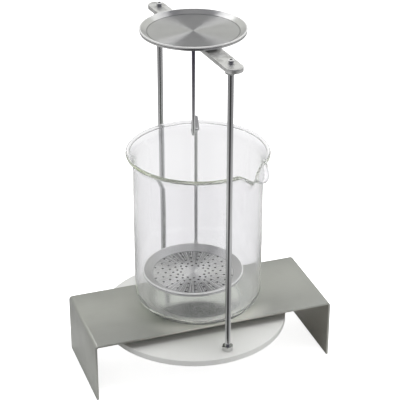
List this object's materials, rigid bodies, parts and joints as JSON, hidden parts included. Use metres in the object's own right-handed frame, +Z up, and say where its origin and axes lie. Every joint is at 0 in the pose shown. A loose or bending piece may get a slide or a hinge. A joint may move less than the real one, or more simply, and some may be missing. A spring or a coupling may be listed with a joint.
{
  "type": "balance density kit",
  "caption": "Density kit for a balance: bent sheet bridge with a glass beaker, and a pan carrier with rods, crossbar, weighing dish and a perforated dish hung in the beaker.",
  "frame": {"origin": "on the surface the kit stands on, under the centre of the bridge", "axes": "+Z up, X along the bridge, +Y towards its rear edge; the beaker's spout points to the front right"},
  "size_m": [0.175, 0.1334, 0.2531],
  "materials": {
    "bridge_steel": "fine satin, brushed along the bridge",
    "beaker_glass": "clear, fire-polished rim",
    "hub_metal": "turned",
    "disc_metal": "matt, bead blasted",
    "rod_steel": "polished",
    "nut_steel": "bright",
    "bar_steel": "satin",
    "dish_steel": "turned, fine circular tool marks"
  },
  "bodies": {
    "stand": {"bridge_platform": "bridge_steel"},
    "vessel": {"beaker": "beaker_glass"},
    "hub": {"adapter_hub": "hub_metal"},
    "carrier": {"carrier_disc": "disc_metal", "front_rod": "rod_steel", "rear_rod": "rod_steel", "front_base_nut": "nut_steel", "rear_base_nut": "nut_steel", "front_bar_nut": "nut_steel", "rear_bar_nut": "nut_steel", "crossbar": "bar_steel", "dish_post": "bar_steel", "post_nut": "nut_steel", "hanger_rod": "rod_steel"},
    "top_dish": {"weighing_dish": "dish_steel"},
    "hanging_dish": {"immersion_dish": "dish_steel", "dish_wire": "rod_steel", "rim_weld": "dish_steel"}
  },
  "joints": [
    {"name": "beaker_lift", "type": "slide", "parent": "stand", "child": "vessel", "axis": [0, 0, 1], "range_m": [0, 0.014]},
    {"name": "carrier_rise", "type": "slide", "parent": "stand", "child": "hub", "axis": [0, 0, 1], "range_m": [0, 0.0055]},
    {"name": "carrier_turn", "type": "hinge", "parent": "hub", "child": "carrier", "pos_m": [-0.0042, 0, 0.034], "axis": [0, 0, 1], "range_deg": [-12, 12]},
    {"name": "dish_lift", "type": "slide", "parent": "carrier", "child": "top_dish", "axis": [0, 0, 1], "range_m": [0, 0.03]},
    {"name": "dish_swing", "type": "hinge", "parent": "carrier", "child": "hanging_dish", "pos_m": [-0.00302, 0.00382, 0.1775], "axis": [0.9553, -0.2957, 0], "range_deg": [-1.5, 3.5]}
  ]
}
